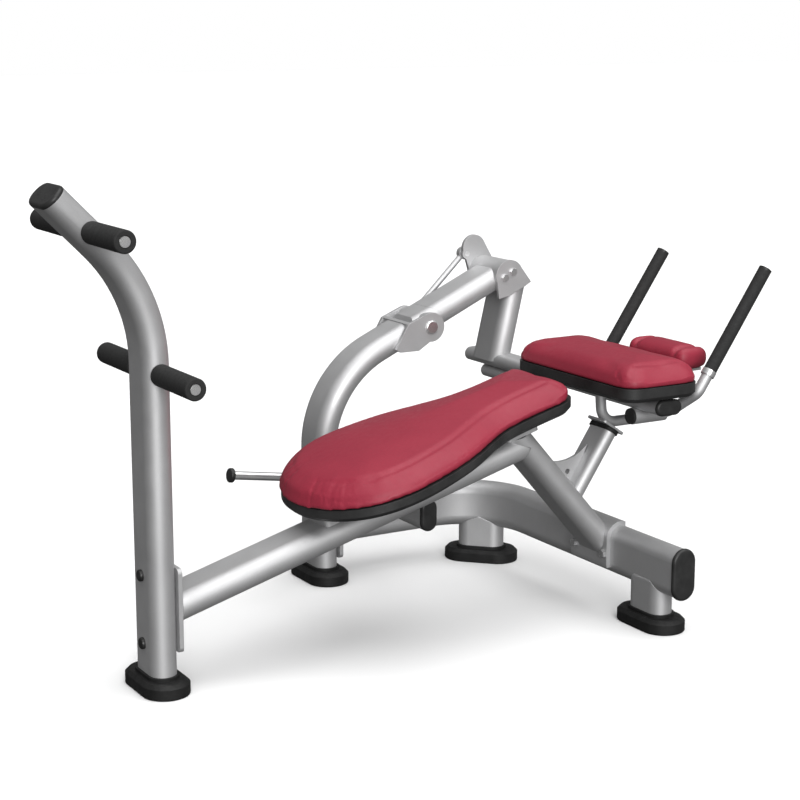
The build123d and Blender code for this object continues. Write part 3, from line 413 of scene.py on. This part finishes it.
def cushion(name, cad_name, body, shape, inset, drop, cap):
    """Upholstered pad in place of a CAD pad: swollen cloth, then a crown and the sewn seams.

    It starts smaller by inset all round and by drop on top, and a point swells by cap at most.
    """
    cad = frame["nodes"][cad_name]
    piece = bpy.data.objects.new(name, cad.data.copy())
    bpy.context.scene.collection.objects.link(piece)
    axes = pad_axes(cad)
    local = points_of(piece) @ axes.T
    middle = (local.min(0) + local.max(0)) / 2
    size = np.ptp(local, axis=0)
    small = (local - middle) * (1 - 2 * np.array((inset, inset, drop / 2)) / size)
    small[:, 2] -= drop / 2
    move_points(piece, (small + middle) @ axes)
    remesh = piece.modifiers.new("even", "REMESH")
    remesh.mode = "VOXEL"
    remesh.voxel_size = VOXEL
    settle(piece)
    inflate(piece, axes, cap)
    ease = piece.modifiers.new("ease", "SMOOTH")
    ease.iterations = EASING
    settle(piece)
    local = points_of(piece) @ axes.T - middle
    distance, sideways = edge_distance(local, normals_of(piece) @ axes[2])
    under = local[:, 2].min()
    thickness = local[:, 2].max() - under
    relief = shape(local, distance, sideways)
    local[:, 2] = under + (local[:, 2] - under) * (1 + relief / thickness)
    move_points(piece, (local + middle) @ axes)
    smooth = piece.modifiers.new("round", "SUBSURF")
    smooth.levels = smooth.render_levels = 1
    settle(piece)
    piece.data.polygons.foreach_set("use_smooth", [True] * len(piece.data.polygons))
    piece.data.materials.clear()
    piece.data.materials.append(MATERIALS["red_vinyl"])
    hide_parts(cad_name)
    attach(piece, body)


def rounding_off(distance, drop, width):
    """Fall of a pad's top towards its outline, over a band of some width."""
    return -drop * (1 - np.clip(distance / width, 0, 1)) ** 2


def seat_shape(local, distance, sideways):
    """Crowned seat with a seam inside each long side and a rounded nose."""
    along_sides = np.clip((sideways - SEAT_SIDES_START) / SEAT_SIDES_SPAN, 0, 1)
    rounded = rounding_off(distance, SEAT_NOSE_DROP, SEAT_NOSE_WIDTH)
    sewn = seam(distance, SEAT_SEAM_IN, SEAT_SHOULDER, SEAT_SEAM_DEPTH)
    risen = crown(distance, SEAT_CROWN, SEAT_CROWN_WIDTH)
    return risen + along_sides * sewn + (1 - along_sides) * rounded


def torso_shape(local, distance, sideways):
    """Crowned pad with a seam inside its two ends and rounded front and back edges."""
    ends = np.clip((sideways - TORSO_ENDS_START) / TORSO_ENDS_SPAN, 0, 1)
    rounded = rounding_off(distance, TORSO_EDGE_DROP, TORSO_EDGE_WIDTH)
    sewn = seam(distance, TORSO_SEAM_IN, TORSO_SHOULDER, TORSO_SEAM_DEPTH)
    risen = crown(distance, TORSO_CROWN, TORSO_CROWN_WIDTH)
    return risen + ends * sewn + (1 - ends) * rounded


def head_shape(local, distance, sideways):
    """Pillow that is gathered by a fold near each end."""
    fold = np.ptp(local[:, 1]) / 2 - HEAD_FOLD_IN
    return -HEAD_FOLD_DEPTH * np.exp(-(((np.abs(local[:, 1]) - fold) / HEAD_FOLD_WIDTH) ** 2))


def make_cushions():
    """The three upholstered pads."""
    cushion(
        "seat_cushion", "seat_pad", "frame", seat_shape,
        inset=0.000, drop=0.000, cap=0.005,
    )
    cushion(
        "torso_cushion", "torso_pad", "torso_frame", torso_shape,
        inset=0.000, drop=0.002, cap=0.005,
    )
    cushion(
        "head_cushion", "head_pad", "torso_frame", head_shape,
        inset=0.002, drop=0.004, cap=0.006,
    )


# ---------------------------------------------------------------- stage
def make_floor():
    """Plain pale floor under the feet."""
    half = FLOOR_SIZE / 2
    centre = (CAD_LOW + CAD_HIGH) / 2
    corners = [
        (centre.x + half * dx, centre.y + half * dy, CAD_LOW.z)
        for dx, dy in ((-1, -1), (1, -1), (1, 1), (-1, 1))
    ]
    mesh = bpy.data.meshes.new("floor")
    mesh.from_pydata(corners, [], [(0, 1, 2, 3)])
    floor = bpy.data.objects.new("floor", mesh)
    bpy.context.scene.collection.objects.link(floor)
    pale = Surface("floor_pale", roughness=0.9)
    pale.colour(pale.ramp(pale.noise(size=2.0), [(NOISE_LOW, grey(0.92)), (NOISE_HIGH, grey(0.95))]))
    mesh.materials.append(pale.material)
    floor.visible_diffuse = False  # the floor throws no light back up at the object
    floor.visible_glossy = False


def make_sky():
    """White backdrop for the camera; for the object, soft light that is brightest high in front."""
    world = bpy.data.worlds.new("studio")
    world.use_nodes = True
    bpy.context.scene.world = world
    nodes, link = world.node_tree.nodes, world.node_tree.links.new
    backdrop = nodes["Background"]
    backdrop.inputs["Color"].default_value = (1, 1, 1, 1)
    soft = nodes.new("ShaderNodeBackground")
    towards = nodes.new("ShaderNodeVectorMath")
    towards.operation = "DOT_PRODUCT"
    towards.inputs[1].default_value = SKY_TOWARDS
    link(nodes.new("ShaderNodeTexCoord").outputs["Generated"], towards.inputs[0])
    level = nodes.new("ShaderNodeMapRange")
    level.inputs["From Min"].default_value = -1
    level.inputs["To Min"].default_value = SKY_DIM
    level.inputs["To Max"].default_value = SKY_BRIGHT
    link(towards.outputs["Value"], level.inputs["Value"])
    link(level.outputs["Result"], soft.inputs["Strength"])
    choose = nodes.new("ShaderNodeMixShader")
    link(nodes.new("ShaderNodeLightPath").outputs["Is Camera Ray"], choose.inputs["Fac"])
    link(soft.outputs["Background"], choose.inputs[1])
    link(backdrop.outputs["Background"], choose.inputs[2])
    link(choose.outputs["Shader"], nodes["World Output"].inputs["Surface"])


def make_light(name, towards, strength, softness):
    """A soft light that shines from a direction; softness is its width in degrees."""
    light = bpy.data.lights.new(name, "SUN")
    light.energy = strength
    light.angle = math.radians(softness)
    lamp = bpy.data.objects.new(name, light)
    lamp.rotation_mode = "QUATERNION"
    lamp.rotation_quaternion = towards.to_track_quat("Z", "Y")
    bpy.context.scene.collection.objects.link(lamp)


def make_camera():
    """The camera, at the reference view."""
    camera = bpy.data.objects.new("camera", bpy.data.cameras.new("camera"))
    camera.location = CAMERA_PLACE
    camera.rotation_euler = (math.radians(90 - CAMERA_DROP), 0, math.radians(-CAMERA_TURN))
    camera.data.lens = CAMERA_LENS
    bpy.context.scene.collection.objects.link(camera)
    bpy.context.scene.camera = camera


finish_cad_nodes()
make_cushions()
make_floor()
make_sky()
make_light("key", KEY_FROM, KEY_STRENGTH, KEY_SOFTNESS)
make_light("overhead", TOP_FROM, TOP_STRENGTH, TOP_SOFTNESS)
make_camera()
bpy.context.scene.view_settings.view_transform = "Standard"
